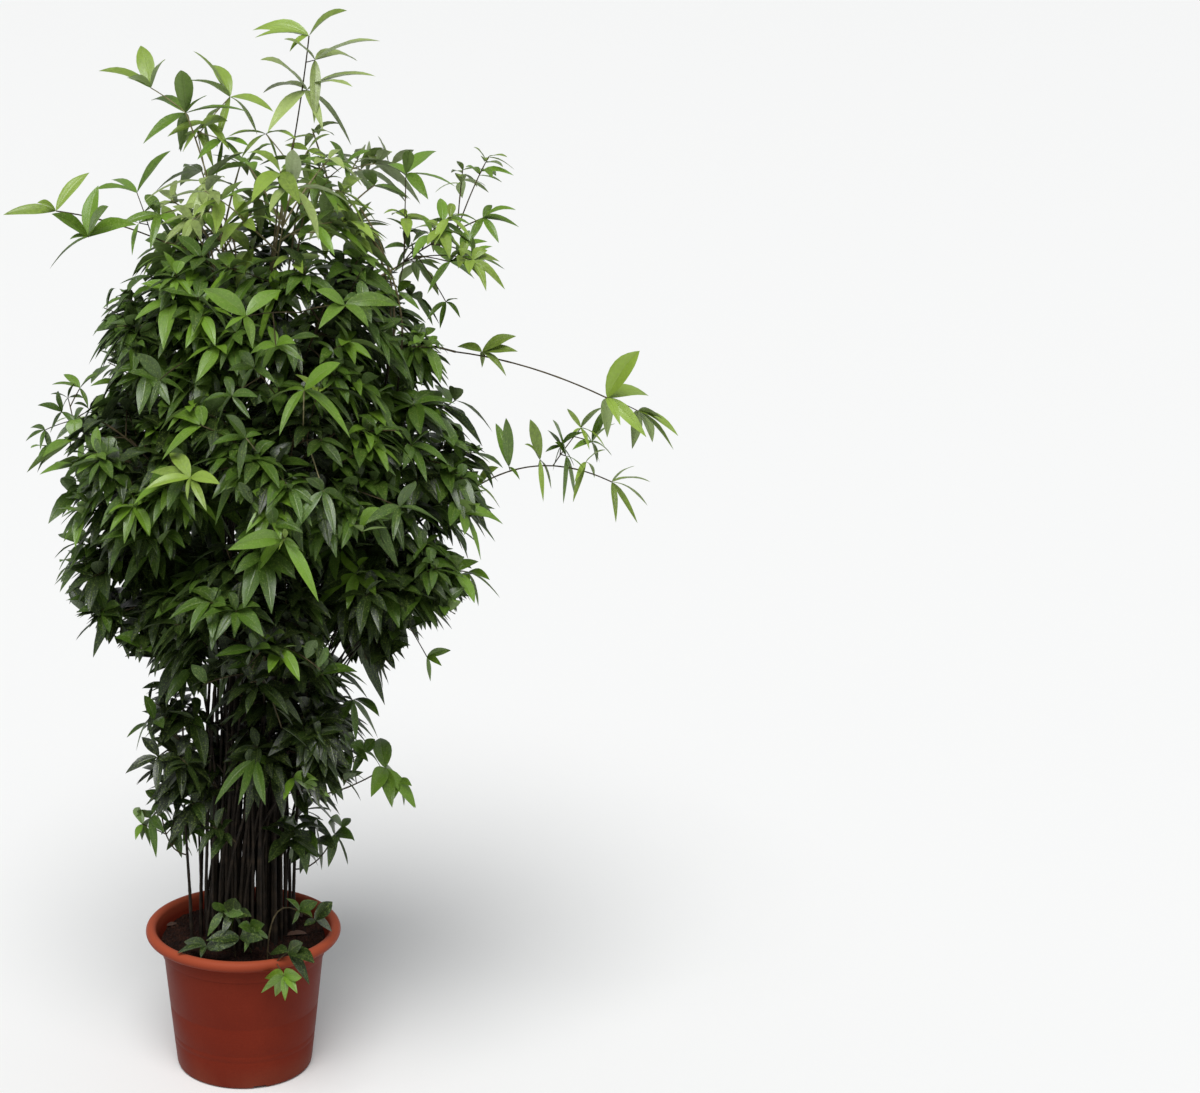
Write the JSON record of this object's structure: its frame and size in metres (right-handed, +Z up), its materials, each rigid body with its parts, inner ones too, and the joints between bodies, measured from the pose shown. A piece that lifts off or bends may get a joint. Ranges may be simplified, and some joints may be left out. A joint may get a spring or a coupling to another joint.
{
  "type": "potted dracaena shrub",
  "caption": "Tall leafy dracaena: a clump of thin canes under a full crown of green leaf whorls with long side shoots, in a round rolled-rim terracotta-coloured plastic pot.",
  "frame": {"origin": "centre of the flat underside of the pot", "axes": "+Z up along the canes; -Y is the front; +X is the side that the long side shoots reach to"},
  "size_m": [1.1245, 0.7668, 1.83],
  "materials": {
    "pot_plastic": "moulded terracotta-coloured plastic, satin, a little dusty",
    "soil": "dark crumbly potting soil",
    "bark": "thin dark brown canes with ring scars",
    "leaf": "glossy green leaves, paler and greyer underneath"
  },
  "bodies": {
    "root": {"pot": "pot_plastic", "soil": "soil", "cane_skirt_1": "bark", "cane_skirt_2": "bark", "cane_skirt_3": "bark", "cane_belly_1": "bark", "cane_belly_2": "bark", "cane_belly_3": "bark", "cane_belly_4": "bark", "cane_belly_5": "bark", "cane_breast_1": "bark", "cane_breast_2": "bark", "cane_breast_3": "bark", "cane_breast_4": "bark", "cane_breast_5": "bark", "cane_shoulder_1": "bark", "cane_shoulder_2": "bark", "cane_shoulder_3": "bark", "cane_shoulder_4": "bark", "cane_leader": "bark", "cane_left_leader": "bark", "cane_far_left": "bark", "cane_right_shoulder": "bark", "cane_side_upper": "bark", "cane_side_lower": "bark", "cane_left_spray": "bark", "cane_bare_left": "bark", "foliage_skirt_1": "leaf", "foliage_skirt_2": "leaf", "foliage_skirt_3": "leaf", "foliage_belly_1": "leaf", "foliage_belly_2": "leaf", "foliage_belly_3": "leaf", "foliage_belly_4": "leaf", "foliage_belly_5": "leaf", "foliage_breast_1": "leaf", "foliage_breast_2": "leaf", "foliage_breast_3": "leaf", "foliage_breast_4": "leaf", "foliage_breast_5": "leaf", "foliage_shoulder_1": "leaf", "foliage_shoulder_2": "leaf", "foliage_shoulder_3": "leaf", "foliage_shoulder_4": "leaf", "foliage_leader": "leaf", "foliage_left_leader": "leaf", "foliage_far_left": "leaf", "foliage_right_shoulder": "leaf", "foliage_side_upper": "leaf", "foliage_side_lower": "leaf", "foliage_left_spray": "leaf", "foliage_crest_1": "leaf", "foliage_crest_2": "leaf", "foliage_crest_3": "leaf", "foliage_low_left": "leaf", "foliage_low_right": "leaf", "foliage_pot_right": "leaf", "foliage_pot_front": "leaf", "foliage_pot_rim": "leaf"}
  },
  "joints": []
}
